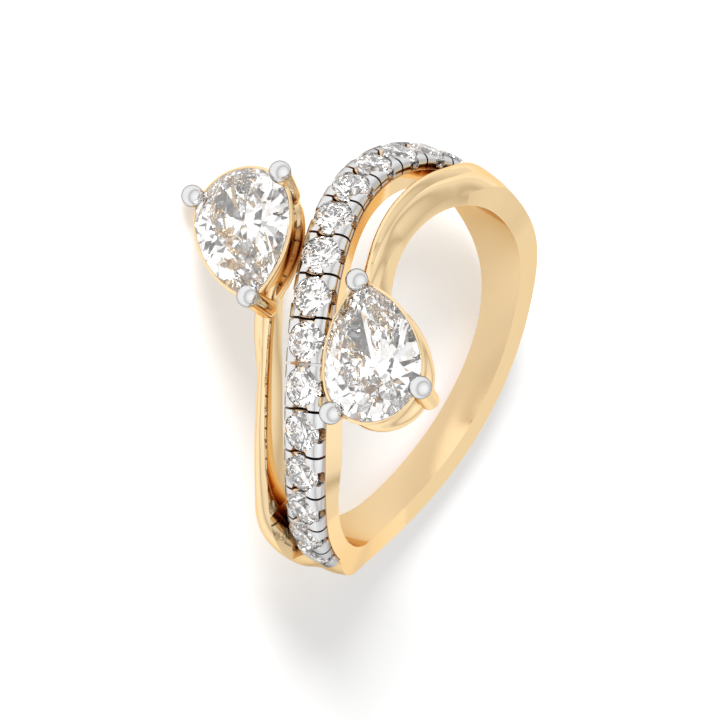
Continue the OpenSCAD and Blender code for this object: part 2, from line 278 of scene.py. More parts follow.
def along_table(turn, table):
    """Row of a table at any turn, on a smooth curve through its rows."""
    turns = sorted(table)
    i = max(k for k in range(len(turns) - 1) if k == 0 or turn >= turns[k])
    gap = turns[i + 1] - turns[i]
    t = (turn - turns[i]) / gap

    def slope(k, column):
        spans = range(max(0, k - 1), min(len(turns) - 1, k + 1))
        rises = [
            (table[turns[m + 1]][column] - table[turns[m]][column]) / (turns[m + 1] - turns[m]) for m in spans
        ]
        return gap * sum(rises) / len(rises)

    row = []
    for column, (p, q) in enumerate(zip(table[turns[i]], table[turns[i + 1]])):
        m, n = slope(i, column), slope(i + 1, column)
        row.append(p + t * (m + t * (3 * (q - p) - 2 * m - n + t * (2 * (p - q) + m + n))))
    return row


def row_middle(turn):
    """Place along the finger axis of the middle of the row of round stones."""
    p = math.radians(turn)
    return sum(factor * p ** (2 * k + 1) for k, factor in enumerate(ROW_CURVE))


def row_half(turn):
    """Half of the row's width at a turn, measured along the finger axis."""
    p = math.radians(turn)
    rate = sum((2 * k + 1) * factor * p ** (2 * k) for k, factor in enumerate(ROW_CURVE))
    return ROW_HALF * math.hypot(ROW_TOP, rate) / ROW_TOP


def wide_edge(turn):
    """Distance from the middle plane of the row's outer side, and of the shank's behind it, as one line."""
    return mix(row_half(turn) - row_middle(turn), along_table(turn, EDGES)[0], ease(turn, *ROW_JOINS))


def dome(share):
    """Height of a domed top, from 0 at its edges to 1 in the middle, by the share of its width."""
    return 1 - abs(2 * share - 1) ** DOME_POWER


def shank_top(turn, place, low, high, half):
    """Height of the shank over the bore. It dips where the row of stones runs into it."""
    widen = ((180 - turn) / 90) ** 2
    share = min(1, max(0, (place - low) / (high - low)))
    beside_row = ease(share, *SWELL_SIDE) * (1 - ease(turn, *SWELL_SPREADS))
    swell = SWELL[half] * (1 - ease(turn, *SWELL_ENDS)) * (1 - beside_row)
    dip = ROW_DIP * ease(share, *DIP_SIDE) * (1 - ease(turn, *DIP_ENDS))
    return BACK_WALL + MORE_WALL * widen + swell + (BACK_DOME + MORE_DOME * widen) * dome(share) - dip


def arm_section(turn, half):
    """Arm of the low pear: its bore points from the high side to the low one, then its top from low to high.
    The top is a flank that slants up to a crease, and a narrow domed crown beside it."""
    foot, low, high, wall, crown = along_table(turn, ARM)
    wall += SWELL[half] * ease(turn, *SWELL_STARTS)
    slanting = ease(turn, *SLANT_STARTS)
    joined = ease(turn, *SHANK_STARTS)
    shank_low = -along_table(turn, EDGES)[half] if joined > 0 else low
    foot, low = mix(foot, shank_low, joined), mix(low, shank_low, joined)
    top = []
    for k in range(ARM_STEPS + 1):
        share = (1 - math.cos(math.pi * k / ARM_STEPS)) / 2
        place = low + (high - low) * share
        crown_share = min(1, max(0, (share - CREASE) / (1 - CREASE)))
        flank = FLANK_DROP * slanting * max(0, 1 - share / CREASE) ** FLANK_POWER
        slanted = wall * (1 - flank) + crown * dome(crown_share)
        plain = wall + crown * dome(share)
        height = (1 - joined) * (plain + (slanted - plain) * slanting)
        if joined > 0:
            height += joined * shank_top(turn, place, shank_low, wide_edge(turn), half)
        top.append(at(BORE_R + height, -turn, place))
    return [at(BORE_R, -turn, high), at(BORE_R, -turn, foot)], top


def shank_section(turn, half):
    """Shank from where the low pear's arm leaves it to the back: its bore points, then its top."""
    low, high = -along_table(turn, EDGES)[half], wide_edge(turn)
    split_low = -along_table(SPLIT, EDGES)[half]
    split = (along_table(SPLIT, ARM)[2] - split_low) / (wide_edge(SPLIT) - split_low)
    spread = ease(turn, SPLIT, 180)
    bore_at_split, bore_at_back = (1, 0.8, split, 0), (1, 2 / 3, 1 / 3, 0)
    bore = [mix(a, b, spread) for a, b in zip(bore_at_split, bore_at_back)]
    shares = [split * (1 - math.cos(math.pi * k / ARM_STEPS)) / 2 for k in range(ARM_STEPS + 1)]
    shares += [split + (1 - split) * math.sin(math.pi / 2 * k / REST_STEPS) for k in range(1, REST_STEPS + 1)]
    top = []
    for k, share in enumerate(shares):
        even = (1 - math.cos(math.pi * k / (len(shares) - 1))) / 2
        place = low + (high - low) * mix(share, even, spread)
        top.append(at(BORE_R + shank_top(turn, place, low, high, half), -turn, place))
    return [at(BORE_R, -turn, low + (high - low) * share) for share in bore], top


def add_skin(made, sections, closed=False, white=()):
    """Quads between sections of points, each of the same count, in a bmesh.
    The sides named as white get the second finish."""
    rings = [[made.verts.new(p) for p in section] for section in sections]
    for a, b in zip(rings, rings[1:] + rings[:1] if closed else rings[1:]):
        for k in range(len(a)):
            j = (k + 1) % len(a)
            face = made.faces.new((a[k], b[k], b[j], a[j]))
            face.material_index = int(k in white)
    return rings


def mesh_of(name, made):
    """Mesh of a bmesh, which is then gone, with its normals outwards."""
    bmesh.ops.recalc_face_normals(made, faces=made.faces)
    mesh = bpy.data.meshes.new(name)
    made.to_mesh(mesh)
    made.free()
    return mesh


def make_piece_of_mesh(name, mesh, slot, *finishes, crease=None):
    """Object at the origin from a mesh in the upright ring's millimetres, which rides on the ring.
    It is smooth up to the angle of a crease in degrees, and all flat faces where that is 0."""
    mesh.name = name
    mesh.transform(LAID_MM)
    for finish in finishes:
        mesh.materials.append(finish)
    mesh.polygons.foreach_set("use_smooth", [crease != 0] * len(mesh.polygons))
    if crease:
        mesh.set_sharp_from_angle(angle=math.radians(crease))
    piece = bpy.data.objects.new(name, mesh)
    bpy.context.scene.collection.objects.link(piece)
    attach(piece, "root")
    return piece


def make_piece(name, made, slot, *finishes, crease=None):
    """The same from a bmesh, with its double points merged."""
    bmesh.ops.remove_doubles(made, verts=made.verts, dist=SAME_POINT)
    return make_piece_of_mesh(name, mesh_of(name, made), slot, *finishes, crease=crease)


def round_edges(piece, width, segments=3):
    """Rounds a piece's edges of over 30 degrees by a width in millimetres."""
    bevel = piece.modifiers.new("worn_edges", "BEVEL")
    bevel.width = width * MM
    bevel.segments = segments
    bevel.limit_method = "ANGLE"
    bevel.angle_limit = math.radians(30)
    bevel.harden_normals = True


# Polished yellow gold. Its base colour carries painted shade: where ambient occlusion finds metal close by,
# within 1.1 mm, the colour is mixed towards a dark brown, so creases, recesses and the gaps between close
# parts are painted darker.
gold_finish, gold_tree, gold_nodes = new_finish(
    "polished_yellow_gold", 900.0, 4.0, ((0.880, 0.670, 0.395), (0.895, 0.690, 0.415)),
    nooks=("ShaderNodeAmbientOcclusion", {"samples": 8}, {"Distance": 0.0011}),
    depth=("ShaderNodeMapRange", {}, {"From Min": 0.15, "From Max": 0.62}),
    deep=("ShaderNodeMix", {"data_type": "RGBA"}, {"A": (0.40, 0.19, 0.08, 1)}),
    gloss=("ShaderNodeMapRange", {}, {"To Min": 0.07, "To Max": 0.11}),
)
join(
    gold_tree, gold_nodes,
    ("clouds", "Fac", "gloss", "Value"),
    # Painted shade: the lower the occlusion, the nearer the base colour comes to dark brown.
    ("nooks", "AO", "depth", "Value"),
    ("depth", "Result", "deep", "Factor"),
    ("tones", "Color", "deep", "B"),
    ("deep", "Result", "shader", "Base Color"),
    ("gloss", "Result", "shader", "Roughness"),
)
set_inputs(gold_nodes["shader"], {"Metallic": 1.0, "Specular Tint": (0.88, 0.72, 0.50, 1)})

band = bmesh.new()
arm_count, shank_count = 92, 94
halves = {
    half: [shank_section(SPLIT + (180 - SPLIT) * k / shank_count, half) for k in range(shank_count + 1)]
    for half in (LOW, HIGH)
}
other_half = [
    ([half_turned(p) for p in reversed(bore)], [half_turned(p) for p in reversed(top)])
    for bore, top in reversed(halves[HIGH][:-1])
]
add_skin(band, [bore + top for bore, top in halves[LOW] + other_half])
for half, turned in ((LOW, lambda p: p), (HIGH, half_turned)):
    arm_turns = [ARM_END + (SPLIT - ARM_END) * k / arm_count for k in range(arm_count + 1)]
    arm_sections = [arm_section(turn, half) for turn in arm_turns]
    arm_rings = add_skin(band, [[turned(p) for p in bore + top] for bore, top in arm_sections])
    band.faces.new(arm_rings[0])
    bore, top = halves[half][0]
    band.faces.new([band.verts.new(turned(p)) for p in [bore[2]] + top[ARM_STEPS:] + bore[:2]])
shank_piece = make_piece("shank_and_arms", band, "gold", gold_finish)
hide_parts("ring_metal")
round_edges(shank_piece, width=0.04)

# White plating
# Rhodium over the gold round the stones: on the cups, in the groove under them, inside the baskets
# and on the prongs' balls. Where a mesh says bare, the gold shows.
rhodium_finish, rhodium_tree, rhodium_nodes = new_finish(
    "rhodium_over_gold", 1500.0, 3.0, ((0.68, 0.683, 0.69), (0.75, 0.754, 0.76)),
    bare=("ShaderNodeAttribute", {"attribute_name": "bare"}, {}),
    over=("ShaderNodeMix", {"data_type": "RGBA"}, {"B": (0.66, 0.43, 0.24, 1)}),
    gloss=("ShaderNodeMapRange", {}, {"To Min": 0.08, "To Max": 0.14}),
)
join(
    rhodium_tree, rhodium_nodes,
    ("clouds", "Fac", "gloss", "Value"),
    ("bare", "Fac", "over", "Factor"),
    ("tones", "Color", "over", "A"),
    ("over", "Result", "shader", "Base Color"),
    ("gloss", "Result", "shader", "Roughness"),
)
set_inputs(rhodium_nodes["shader"], {"Metallic": 1.0, "Specular Tint": (0.22, 0.22, 0.23, 1)})

# Row wall
# The plain gold wall that carries the row of round stones across the head, soldered into the
# shank at both shoulders. Its outer side runs on into the shank's side wall.
WALL_FOOT, WALL_TOP, GROOVE_FLOOR = BORE_R + 0.01, 9.11, 8.60
wall_reach, groove_share = 89, 0.58
flare, flare_starts, flare_ends = 0.26, (5, 30), (38, 60)  # how the wall widens at the bore, and the turns
GROOVE_SIDES = (3, 4, 5)  # the section's sides that are plated


def wall_section(turn):
    """Wall at a turn: wider at the bore than on top on the side that runs on into the shank."""
    middle, half = row_middle(turn), row_half(turn)
    low = -wide_edge(turn) if turn > 0 else middle - half
    high = wide_edge(-turn) if turn < 0 else middle + half
    groove_low, groove_high = middle - groove_share * half, middle + groove_share * half
    wider = flare * ease(abs(turn), *flare_starts) * (1 - ease(abs(turn), *flare_ends))
    return [
        at(WALL_FOOT, turn, high + (wider if turn < 0 else 0)),
        at(WALL_FOOT, turn, low - (wider if turn > 0 else 0)),
        at(WALL_TOP, turn, low),
        at(WALL_TOP, turn, groove_low),
        at(GROOVE_FLOOR, turn, groove_low),
        at(GROOVE_FLOOR, turn, groove_high),
        at(WALL_TOP, turn, groove_high),
        at(WALL_TOP, turn, high),
    ]


wall = bmesh.new()
wall_sections = [wall_section(turn) for turn in range(-wall_reach, wall_reach + 1)]
wall_rings = add_skin(wall, wall_sections, white=GROOVE_SIDES)
wall.faces.new(wall_rings[0])
wall.faces.new(wall_rings[-1])
wall_piece = make_piece("row_wall", wall, "gold", gold_finish, rhodium_finish)
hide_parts("ring_metal")
round_edges(wall_piece, width=0.03)

# Cups of the row
# Fifteen square cups a slit apart, cut from the wall's gold and plated white on top. Each has a round
# seat, four corner prongs bent over its stone, and a scoop in each side: deep and U-shaped in the
# row's flanks, shallow at the slits.
CUP_COUNT, ROW_PITCH, SLIT = 15, 2.04, 0.12
STONE_R, STONE_DROP = 0.91, 0.22  # a round stone's radius, and its girdle's depth under the row's top
CUP_HALF, FLANK_HALF, FLANK_FOOT = (ROW_PITCH - SLIT) / 2, 1.025, 0.98  # along the row, and across it
CUP_FOOT, CUP_CREASE = -0.80, 32  # its foot's height, and the angle from which an edge stays sharp
ROOF_Z, ROUND_START, ROUND_DROP = -0.02, 0.58, 0.40  # a cup's top, and how its flanks round off
FLANK_SCOOP, SLIT_SCOOP = (0.36, 0.60, 3.5), (0.42, 0.34, 2)  # half width, depth, power
PRONG_RISES = (-0.22, -0.04)  # depths of a scoop between which a side rises to a prong
SEAT_ROOM, SEAT_SLOPE, SEAT_Z = 0.01, 0.50, -STONE_DROP - 0.06  # the seat's cone starts at SEAT_Z
GIRDLE_TOP = -STONE_DROP + 0.02
LIP_GRIP, GIRDLE_GRIP = 0.07, 0.05  # how far a prong bends over its stone, at its lip and at GIRDLE_TOP
WELL_Z, WELL_R, HAIR = -0.62, 0.45, 0.01  # the hole under the stone, and the least step in a column
TOP_SHARES = (0.02, 0.08, 0.2, 0.4, 0.7)  # places of a column's points over a cup's top
LIP = 3 + len(TOP_SHARES)  # the lip's place in a column
WINDOW, PLATED_UP, PLATED_OUT = 0.42, (-0.56, -0.49), (0.30, 0.46)  # where the plating ends
# Turns off the middle of a cup's side that get a column of points, close together at a scoop's edge
SIDE_TURNS = (0, 6, 11, 14.5, 17, 18.6, 19.6, 20.2, 20.6, 22.5, 27, 32, 35.5, 38.5, 41, 43, 44.3)
CORNERS = {45, 135, 225, 315}


def scoop(off, width, depth, power):
    """Depth of a scoop at a distance off its middle. A higher power makes its sides steeper."""
    return -depth * max(0, 1 - (abs(off) / width) ** power) ** (1 / power)


def roof(y):
    """Height of a cup's rounded top across the row."""
    off = min(1, max(0, abs(y) - ROUND_START) / (FLANK_HALF - ROUND_START))
    return ROOF_Z - ROUND_DROP * (1 - math.sqrt(1 - off**2))


def cup_column(degrees):
    """Points of a cup's wall at a turn about its stone: up the outer side, over the top, down the seat."""
    a = math.radians(degrees)
    x, y = math.cos(a), math.sin(a)
    flank = abs(y) > abs(x)
    x, y = x / max(abs(x), abs(y)), y / max(abs(x), abs(y))
    cut = scoop(x * CUP_HALF, *FLANK_SCOOP) if flank else scoop(y * FLANK_HALF, *SLIT_SCOOP)
    prong = ease(cut, *PRONG_RISES)

    def outer(z, half):
        return Vector((x * CUP_HALF, y * half, z))

    def inner(radius, z):
        return Vector((math.cos(a) * radius * ROW_TOP / (ROW_TOP + z), math.sin(a) * radius, z))

    def seat(z):
        """Seat under the stone's edge: straight beside it, then a cone."""
        return STONE_R + SEAT_ROOM - SEAT_SLOPE * max(0, SEAT_Z - z)

    rim = outer(min(roof(y * FLANK_HALF), cut), FLANK_HALF)
    lip_z = min(roof(STONE_R * math.sin(a)), cut)
    lip = inner(seat(lip_z) - LIP_GRIP * prong, lip_z)
    across = [rim.lerp(lip, share) for share in TOP_SHARES]
    inside = min(cut - 2 * HAIR, SEAT_Z)
    return [
        outer(CUP_FOOT, FLANK_FOOT),
        outer(min(WALL_TOP - ROW_TOP, rim.z - HAIR), FLANK_HALF),
        rim,
        *[Vector((p.x, p.y, min(roof(p.y), cut))) for p in across],
        lip,
        inner(seat(lip_z) - GIRDLE_GRIP * prong, min(lip_z - HAIR, GIRDLE_TOP)),
        inner(seat(inside), inside),
        inner(seat(WELL_Z), min(cut - 4 * HAIR, WELL_Z)),
        inner(WELL_R, CUP_FOOT),
    ]


def bare_share(place, point):
    """How much gold shows at a point of a cup, by its place in its column: all of it under the lip in the
    flanks' windows, and on the outer side low down and in the middle of the slits."""
    if place > LIP:
        return float(abs(point.x) < WINDOW < abs(point.y))
    return 1 - ease(point.z, *PLATED_UP) * ease(abs(point.y), *PLATED_OUT)


cup_turns = {90 * side + sign * off for side in range(4) for sign in (-1, 1) for off in SIDE_TURNS}
cup_turns = sorted({turn % 360 for turn in cup_turns} | CORNERS)
cup = bmesh.new()
add_skin(cup, [cup_column(turn) for turn in cup_turns], closed=True)
cup_mesh = mesh_of("cup", cup)
bare = cup_mesh.attributes.new("bare", "FLOAT", "POINT")
cup_columns = [point for turn in cup_turns for point in enumerate(cup_column(turn))]
bare.data.foreach_set("value", [bare_share(k, p) for k, p in cup_columns])
cup_mesh.polygons.foreach_set("use_smooth", [True] * len(cup_mesh.polygons))
cup_mesh.set_sharp_from_angle(angle=math.radians(CUP_CREASE))


def line_mesh(name, lines):
    """Mesh of edges along lines of points."""
    points, edges = [], []
    for line in lines:
        edges += [(len(points) + k, len(points) + k + 1) for k in range(len(line) - 1)]
        points += line
    mesh = bpy.data.meshes.new(name)
    mesh.from_pydata(points, edges, [])
    return mesh


def new_geometry_tree(name, **inputs):
    """Geometry Nodes tree with named inputs, given as name=kind: it, and its nodes came and went."""
    tree = bpy.data.node_groups.new(name, "GeometryNodeTree")
    tree.interface.new_socket("Geometry", in_out="INPUT", socket_type="NodeSocketGeometry")
    tree.interface.new_socket("Geometry", in_out="OUTPUT", socket_type="NodeSocketGeometry")
    for label, kind in inputs.items():
        tree.interface.new_socket(label, in_out="INPUT", socket_type=kind)
    return tree, add_nodes(tree, came="NodeGroupInput", went="NodeGroupOutput")


def drop_empty_slots(mesh):
    """Takes out material slots that hold nothing, and keeps each face's own material."""
    used = [mesh.materials[p.material_index] for p in mesh.polygons]
    mesh.materials.clear()
    finishes = list(dict.fromkeys(used))
    for finish in finishes:
        mesh.materials.append(finish)
    mesh.polygons.foreach_set("material_index", [finishes.index(finish) for finish in used])


def run_tree(tree, mesh, values):
    """Mesh that a tree makes of a mesh, with values for its named inputs."""
    carrier = bpy.data.objects.new("carrier", mesh)
    bpy.context.scene.collection.objects.link(carrier)
    modifier = carrier.modifiers.new("nodes", "NODES")
    modifier.node_group = tree
    for item in tree.interface.items_tree:
        if item.name in values and item.in_out == "INPUT":
            modifier[item.identifier] = values[item.name]
    graph = bpy.context.evaluated_depsgraph_get()
    result = bpy.data.meshes.new_from_object(carrier.evaluated_get(graph), depsgraph=graph)
    bpy.data.objects.remove(carrier)
    drop_empty_slots(result)
    return result


def new_row_tree(name, **inputs):
    """Tree with a point for each place of the row on a straight line, and what reads the row's own line:
    at a point's distance along it, its place, its tangent and the way out from the finger axis."""
    tree, nodes = new_geometry_tree(
        name, Count="NodeSocketInt", Pitch="NodeSocketFloat", Part="NodeSocketObject",
        Finish="NodeSocketMaterial", **inputs
    )
    nodes |= add_nodes(
        tree,
        curve="GeometryNodeMeshToCurve",
        length="GeometryNodeCurveLength",
        half=("ShaderNodeMath", {"operation": "MULTIPLY"}, {1: 0.5}),
        spare=("ShaderNodeMath", {"operation": "SUBTRACT"}, {1: 1.0}),
        span=("ShaderNodeMath", {"operation": "MULTIPLY"}, {}),
        start=("ShaderNodeMath", {"operation": "MULTIPLY"}, {1: -0.5}),
        first="ShaderNodeCombineXYZ",
        step="ShaderNodeCombineXYZ",
        line="GeometryNodeMeshLine",
        place="GeometryNodeInputPosition",
        split="ShaderNodeSeparateXYZ",
        along=("ShaderNodeMath", {"operation": "ADD"}, {}),
        sample=("GeometryNodeSampleCurve", {"mode": "LENGTH"}, {}),
        flat=("ShaderNodeVectorMath", {"operation": "MULTIPLY"}, {1: (1, 1, 0)}),
        out=("ShaderNodeVectorMath", {"operation": "NORMALIZE"}, {}),
        part="GeometryNodeObjectInfo",
        finish="GeometryNodeSetMaterial",
    )
    join(
        tree, nodes,
        ("came", "Geometry", "curve", "Mesh"),
        ("curve", "Curve", "length", "Curve"),
        ("length", "Length", "half", 0),
        ("came", "Count", "spare", 0),
        ("spare", 0, "span", 0),
        ("came", "Pitch", "span", 1),
        ("span", 0, "start", 0),
        ("start", 0, "first", "X"),
        ("came", "Pitch", "step", "X"),
        ("came", "Count", "line", "Count"),
        ("first", 0, "line", "Start Location"),
        ("step", 0, "line", "Offset"),
        ("place", 0, "split", 0),
        ("split", "X", "along", 0),
        ("half", 0, "along", 1),
        ("curve", "Curve", "sample", "Curves"),
        ("along", 0, "sample", "Length"),
        ("sample", "Position", "flat", 0),
        ("flat", 0, "out", 0),
        ("came", "Part", "part", "Object"),
        ("came", "Finish", "finish", "Material"),
        ("finish", "Geometry", "went", "Geometry"),
    )
    return tree, nodes


# The cups are laid out straight and then bent onto the row's line, so that every slit is even.
cup_tree, cup_nodes = new_row_tree("wrapped_on_row")
cup_nodes |= add_nodes(
    cup_tree,
    set="GeometryNodeInstanceOnPoints",
    real="GeometryNodeRealizeInstances",
    side=("ShaderNodeVectorMath", {"operation": "CROSS_PRODUCT"}, {}),
    across=("ShaderNodeVectorMath", {"operation": "SCALE"}, {}),
    up=("ShaderNodeVectorMath", {"operation": "SCALE"}, {}),
    both="ShaderNodeVectorMath",
    all="ShaderNodeVectorMath",
    bend="GeometryNodeSetPosition",
)
join(
    cup_tree, cup_nodes,
    ("line", "Mesh", "set", "Points"),
    ("part", "Geometry", "set", "Instance"),
    ("set", "Instances", "real", "Geometry"),
    ("real", "Geometry", "bend", "Geometry"),
    ("out", 0, "side", 0),
    ("sample", "Tangent", "side", 1),
    ("side", 0, "across", 0),
    ("split", "Y", "across", "Scale"),
    ("out", 0, "up", 0),
    ("split", "Z", "up", "Scale"),
    ("across", 0, "both", 0),
    ("up", 0, "both", 1),
    ("both", 0, "all", 0),
    ("sample", "Position", "all", 1),
    ("all", 0, "bend", "Position"),
    ("bend", "Geometry", "finish", "Geometry"),
)

line_steps = 4 * wall_reach
line_turns = [wall_reach * (2 * k / line_steps - 1) for k in range(line_steps + 1)]
row_line = line_mesh("row_line", [[at(ROW_TOP, turn, row_middle(turn)) for turn in line_turns]])
cup_part = bpy.data.objects.new("cup", cup_mesh)
cups_mesh = run_tree(
    cup_tree, row_line, {"Count": CUP_COUNT, "Pitch": ROW_PITCH, "Part": cup_part, "Finish": rhodium_finish}
)
cups_piece = make_piece_of_mesh("row_cups", cups_mesh, "gold", crease=CUP_CREASE)
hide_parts("ring_metal")
round_edges(cups_piece, width=0.02, segments=2)
bpy.data.objects.remove(cup_part)

# Round stones
# Fifteen clear stones of 1.8 mm in the full round cut: a table, 32 crown facets and 24 below the
# girdle, each made as a cutter makes it, by grinding one plane after another off a round blank.
ROUND_SIDES = 48  # of the blank
BLANK_SPARE = 0.5  # what a blank has over and under the finished stone
MAIN_LIFT, STAR_REACH, STAR_SLOPE = 0.03, 0.94, 0.62  # shares of the crown, the table and the main slope
UPPER_STEEPER, LOWER_STEEPER, LOWER_LIFT = 1.30, 1.035, 0.012  # the half facets against the main ones
SAME_PLANE = 1e-6

stone_finish, stone_tree, stone_nodes = new_finish(
    "clear_cut_stone", 400.0, 1.0, ((0.985, 0.985, 0.99), (1.0, 1.0, 1.0))
)
join(stone_tree, stone_nodes, ("tones", "Color", "shader", "Base Color"))
set_inputs(stone_nodes["shader"], {"Transmission Weight": 1.0, "Roughness": 0.0, "IOR": 2.42})


def cut_stone(outline, culet, crown, girdle, pavilion, table_share, main_turns, half_turns, star_turns):
    """Bmesh of a brilliant: a blank of the outline's shape, ground by one plane for each facet.
    The turns are those of the facets about the culet. Z is 0 at the top of the girdle."""
    made = bmesh.new()
    high = [made.verts.new((p.x, p.y, crown + BLANK_SPARE)) for p in outline]
    low = [made.verts.new((p.x, p.y, -girdle - pavilion - BLANK_SPARE)) for p in outline]
    made.faces.new(high)
    made.faces.new(low[::-1])
    for k in range(len(outline)):
        j = (k + 1) % len(outline)
        made.faces.new((high[k], low[k], low[j], high[j]))

    def side(degrees):
        """Way out of the outline at a turn about the culet, and how far it lies that way."""
        a = math.radians(degrees)
        way = Vector((math.cos(a), math.sin(a)))
        k = max(range(len(outline)), key=lambda i: (outline[i] - culet).normalized().dot(way))
        run = outline[(k + 1) % len(outline)] - outline[k - 1]
        out = Vector((run.y, -run.x)).normalized()
        if out.dot(way) < 0:
            out = -out
        return out, (outline[k] - culet).dot(out)

    def grind(out, reach, z, slope):
        """Takes off what lies outside the plane that passes a distance out at a height, with a slope."""
        normal = Vector((out.x * abs(slope), out.y * abs(slope), 1 if slope > 0 else -1))
        point = Vector((culet.x + out.x * reach, culet.y + out.y * reach, z))
        everything = made.verts[:] + made.edges[:] + made.faces[:]
        cut = bmesh.ops.bisect_plane(
            made, geom=everything, dist=SAME_PLANE, plane_co=point, plane_no=normal, clear_outer=True
        )
        rim = [e for e in cut["geom_cut"] if isinstance(e, bmesh.types.BMEdge)]
        if len(rim) > 2:
            bmesh.ops.edgeloop_fill(made, edges=rim)

    for degrees in main_turns:
        out, reach = side(degrees)
        grind(out, reach, MAIN_LIFT * crown, crown / (reach * (1 - table_share)))
        grind(out, reach, -girdle, -pavilion / reach)
    for degrees in half_turns:
        out, reach = side(degrees)
        grind(out, reach, 0, UPPER_STEEPER * crown / (reach * (1 - table_share)))
        grind(out, reach, -girdle + LOWER_LIFT * pavilion, -LOWER_STEEPER * pavilion / reach)
    for degrees in star_turns:
        out, reach = side(degrees)
        grind(out, reach * table_share * STAR_REACH, crown, STAR_SLOPE * crown / (reach * (1 - table_share)))
    grind(Vector((0, 0)), 0, crown, 1.0)
    bmesh.ops.remove_doubles(made, verts=made.verts, dist=SAME_POINT)
    return made


round_turns = [2 * math.pi * k / ROUND_SIDES for k in range(ROUND_SIDES)]
round_cut = cut_stone(
    [STONE_R * Vector((math.cos(a), math.sin(a))) for a in round_turns], Vector((0, 0)),
    crown=0.27, girdle=0.05, pavilion=0.78, table_share=0.56,
    main_turns=[45 * k for k in range(8)],
    half_turns=[22.5 * k + 11.25 for k in range(16)],
    star_turns=[45 * k + 22.5 for k in range(8)],
)
round_mesh = mesh_of("round_cut", round_cut)

stones_tree, stones_nodes = new_row_tree(
    "set_on_row", Drop="NodeSocketFloat", Spin="NodeSocketFloat", Seed="NodeSocketInt"
)
stones_nodes |= add_nodes(
    stones_tree,
    put="GeometryNodeSetPosition",
    keep="GeometryNodeCaptureAttribute",
    sunk="GeometryNodeTransform",
    drop="ShaderNodeCombineXYZ",
    stand=("FunctionNodeAlignRotationToVector", {"axis": "Z"}, {}),
    run=("FunctionNodeAlignRotationToVector", {"axis": "X", "pivot_axis": "Z"}, {}),
    chance=("FunctionNodeRandomValue", {"data_type": "FLOAT"}, {}),
    turned="FunctionNodeAxisAngleToRotation",
    spun=("FunctionNodeRotateRotation", {"rotation_space": "LOCAL"}, {}),
    set="GeometryNodeInstanceOnPoints",
    real="GeometryNodeRealizeInstances",
)
stones_nodes["keep"].capture_items.new("ROTATION", "Rotation")
join(
    stones_tree, stones_nodes,
    ("out", 0, "stand", "Vector"),
    ("stand", "Rotation", "run", "Rotation"),
    ("sample", "Tangent", "run", "Vector"),
    ("came", "Seed", "chance", "Seed"),
    ("run", "Rotation", "spun", "Rotation"),
    ("turned", "Rotation", "spun", "Rotate By"),
    ("line", "Mesh", "keep", "Geometry"),
    ("spun", "Rotation", "keep", "Rotation"),
    ("keep", "Geometry", "put", "Geometry"),
    ("sample", "Position", "put", "Position"),
    ("put", "Geometry", "set", "Points"),
    ("part", "Geometry", "sunk", "Geometry"),
    ("came", "Drop", "drop", "Z"),
    ("drop", 0, "sunk", "Translation"),
    ("sunk", "Geometry", "set", "Instance"),
    ("keep", "Rotation", "set", "Rotation"),
    ("set", "Instances", "real", "Geometry"),
    ("real", "Geometry", "finish", "Geometry"),
)
chance_most = next(i for i in stones_nodes["chance"].inputs if i.enabled and i.name == "Max")
chance_value = next(o for o in stones_nodes["chance"].outputs if o.enabled)
stones_tree.links.new(stones_nodes["came"].outputs["Spin"], chance_most)
stones_tree.links.new(chance_value, stones_nodes["turned"].inputs["Angle"])

round_part = bpy.data.objects.new("round_cut", round_mesh)
rounds_mesh = run_tree(
    stones_tree, row_line,
    {
        "Count": CUP_COUNT, "Pitch": ROW_PITCH, "Part": round_part, "Drop": -STONE_DROP,
        "Spin": math.pi / 4, "Seed": 7, "Finish": stone_finish,
    }
)
rounds_piece = make_piece_of_mesh("round_stones", rounds_mesh, "stone", crease=0)
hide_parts(*[f"pave_stone_{k:02d}" for k in range(1, CUP_COUNT + 1)])
bpy.data.objects.remove(round_part)

# Pear baskets
# One under each pear stone, in yellow gold: a thin rim wire round the stone's edge, a hollow channel
# under it, and a lower rail that sits on the end of the arm.
PEAR_L, PEAR_W = 6.36, 4.46
PEAR_PLACE = (1.41, -10.67, -2.15)  # the low pear's point
PEAR_TURN, PEAR_TIP = math.radians(40.8), math.radians(3.3)  # how it is turned and tipped in the head
PEAR_SIDES = 0.58  # share of an outline's points that lie on the pear's long sides
HALF_TURN = Matrix.Rotation(math.pi, 4, "Y")

pear_out = Vector((-math.sin(PEAR_TIP), -math.cos(PEAR_TIP), 0))
pear_run = Vector((-math.cos(PEAR_TURN), 0, -math.sin(PEAR_TURN)))
pear_run = (pear_run - pear_out * pear_run.dot(pear_out)).normalized()
low_pear = Matrix((pear_run, pear_out.cross(pear_run), pear_out)).transposed().to_4x4()
low_pear.translation = PEAR_PLACE
PEARS = {"low": low_pear, "high": HALF_TURN @ low_pear}


def pear_outline(margin=0.0, count=96):
    """Points round a pear grown by a margin, from its point to its round end and back."""
    end_r = PEAR_W / 2
    middle = PEAR_L - end_r
    side_r = (middle**2 + end_r**2) / PEAR_W
    big_end, big_side = end_r + margin, side_r + margin
    tip = math.acos((side_r - end_r) / big_side)
    half = []
    for k in range(count // 2 + 1):
        share = 2 * k / count
        if share < PEAR_SIDES:
            a = tip * (1 - share / PEAR_SIDES)
            half.append(Vector((middle - big_side * math.sin(a), big_side * math.cos(a) - side_r + end_r)))
        else:
            a = math.pi / 2 * (share - PEAR_SIDES) / (1 - PEAR_SIDES)
            half.append(Vector((middle + big_end * math.sin(a), big_end * math.cos(a))))
    return [Vector((p.x, -p.y)) for p in half[:-1]] + [half[-1]] + half[-2:0:-1]


def curved(start, bend, end, count):
    """Points on a soft curve from a start to an end, drawn towards a bend."""
    points = []
    for k in range(count + 1):
        t = k / count
        weights = ((1 - t) ** 2, 2 * t * (1 - t), t**2)
        points.append(tuple(sum(w * p for w, p in zip(weights, row)) for row in zip(start, bend, end)))
    return points


